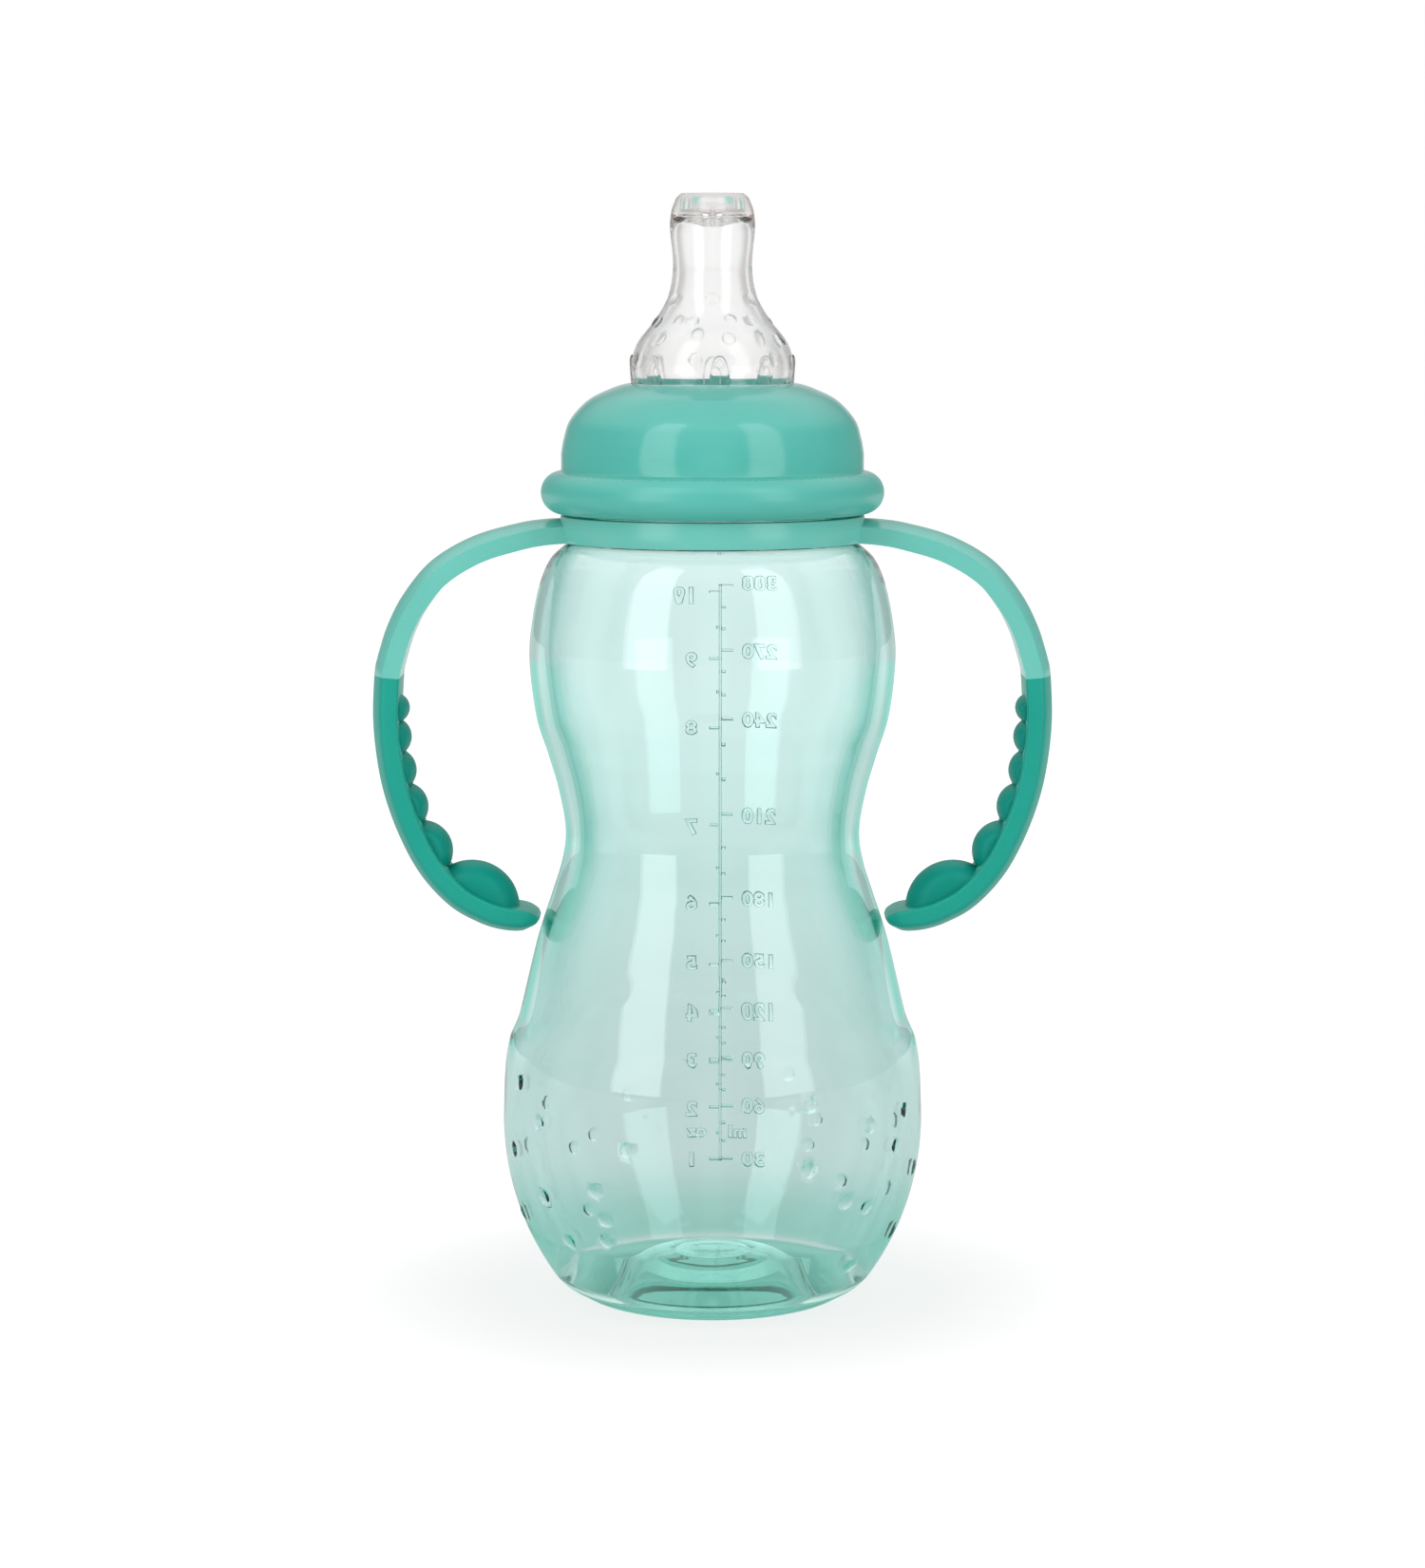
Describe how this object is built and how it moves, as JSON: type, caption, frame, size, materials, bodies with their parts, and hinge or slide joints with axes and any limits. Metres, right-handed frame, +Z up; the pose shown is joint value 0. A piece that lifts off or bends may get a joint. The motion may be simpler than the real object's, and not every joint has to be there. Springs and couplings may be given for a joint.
{
  "type": "baby bottle",
  "caption": "Tinted hourglass feeding bottle with a screw collar, a soft clear teat and a swivelling pair of handles with soft finger grips.",
  "frame": {"origin": "centre of the flat foot ring, on the surface that the bottle stands on", "axes": "+Z up along the bottle's axis, +X and -X through the two handles, -Y the plain front, +Y the side with the volume scale"},
  "size_m": [0.118, 0.0728, 0.1905],
  "materials": {
    "bottle_clear_tint": "clear mint tinted moulded bottle, glossy",
    "collar_plastic": "opaque mint green moulding, glossy",
    "teat_silicone": "clear soft silicone",
    "handle_plastic": "light mint moulding, glossy",
    "grip_rubber": "soft teal overmould, satin"
  },
  "bodies": {
    "bottle": {"bottle_body": "bottle_clear_tint"},
    "teat": {"teat": "teat_silicone"},
    "collar": {"screw_collar": "collar_plastic"},
    "handles": {"handle_frame": "handle_plastic", "left_grip": "grip_rubber", "right_grip": "grip_rubber"}
  },
  "joints": [
    {"name": "teat_lift", "type": "slide", "parent": "bottle", "child": "teat", "axis": [0, 0, 1], "range_m": [0, 0.006]},
    {"name": "collar_turn", "type": "hinge", "parent": "teat", "child": "collar", "pos_m": [0, 0, 0.145], "axis": [0, 0, 1], "range_deg": [0, 540]},
    {"name": "handle_swivel", "type": "hinge", "parent": "bottle", "child": "handles", "pos_m": [0, 0, 0.1336], "axis": [0, 0, 1], "continuous": true}
  ],
  "couplings": [
    {"joint": "teat_lift", "follows": "collar_turn", "m_per_rad": 0.00063662}
  ]
}
